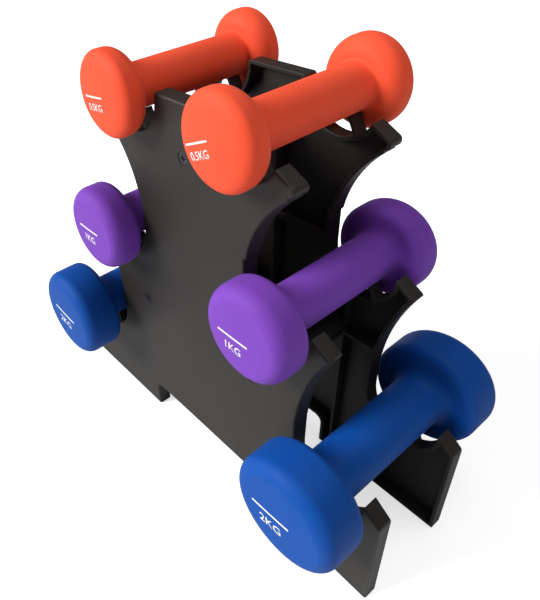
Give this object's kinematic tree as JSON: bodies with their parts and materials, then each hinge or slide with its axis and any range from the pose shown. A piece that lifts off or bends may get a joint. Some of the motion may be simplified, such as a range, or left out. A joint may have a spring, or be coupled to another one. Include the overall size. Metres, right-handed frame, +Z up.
{
  "type": "dumbbell rack",
  "caption": "Free-standing tiered plastic rack with two tree-shaped side panels on cross tubes, holding coated round-head dumbbells in open cradles on both sides.",
  "frame": {"origin": "on the floor under the middle of the rack", "axes": "+X along the rack's length, +Y along the dumbbell handles towards the back panel, +Z up"},
  "size_m": [0.316, 0.1694, 0.3107],
  "materials": {
    "panel_plastic": "satin charcoal moulded plastic with a fine grain",
    "tube_paint": "black powder coat",
    "plug_plastic": "matte moulded plastic",
    "screw_black": "black zinc-plated steel",
    "core_iron": "as cast",
    "coat_orange": "matte dipped coating, orange-red",
    "coat_purple": "matte dipped coating, purple",
    "print_white": "white pad-printed ink of the weight marks",
    "coat_blue": "matte dipped coating, blue"
  },
  "bodies": {
    "rack": {"front_panel": "panel_plastic", "back_panel": "panel_plastic", "tube_upper": "tube_paint", "tube_left": "tube_paint", "tube_right": "tube_paint", "plugs_front": "plug_plastic", "plugs_back": "plug_plastic", "screws_front": "screw_black", "screws_back": "screw_black"},
    "dumbbell_small_left": {"small_left_core": "core_iron", "small_left_coat": "coat_orange"},
    "dumbbell_small_right": {"small_right_core": "core_iron", "small_right_coat": "coat_orange"},
    "dumbbell_medium_left": {"medium_left_core": "core_iron", "medium_left_coat": "coat_purple"},
    "dumbbell_medium_right": {"medium_right_core": "core_iron", "medium_right_coat": "coat_purple"},
    "dumbbell_large_left": {"large_left_core": "core_iron", "large_left_coat": "coat_blue"},
    "dumbbell_large_right": {"large_right_core": "core_iron", "large_right_coat": "coat_blue"}
  },
  "joints": [
    {"name": "lift_small_left", "type": "slide", "parent": "rack", "child": "dumbbell_small_left", "axis": [-0.5, 0, 0.866], "range_m": [0, 0.11]},
    {"name": "lift_small_right", "type": "slide", "parent": "rack", "child": "dumbbell_small_right", "axis": [0.5, 0, 0.866], "range_m": [0, 0.11]},
    {"name": "lift_medium_left", "type": "slide", "parent": "rack", "child": "dumbbell_medium_left", "axis": [-0.5, 0, 0.866], "range_m": [0, 0.11]},
    {"name": "lift_medium_right", "type": "slide", "parent": "rack", "child": "dumbbell_medium_right", "axis": [0.5, 0, 0.866], "range_m": [0, 0.11]},
    {"name": "lift_large_left", "type": "slide", "parent": "rack", "child": "dumbbell_large_left", "axis": [-0.5, 0, 0.866], "range_m": [0, 0.11]},
    {"name": "lift_large_right", "type": "slide", "parent": "rack", "child": "dumbbell_large_right", "axis": [0.5, 0, 0.866], "range_m": [0, 0.11]}
  ]
}
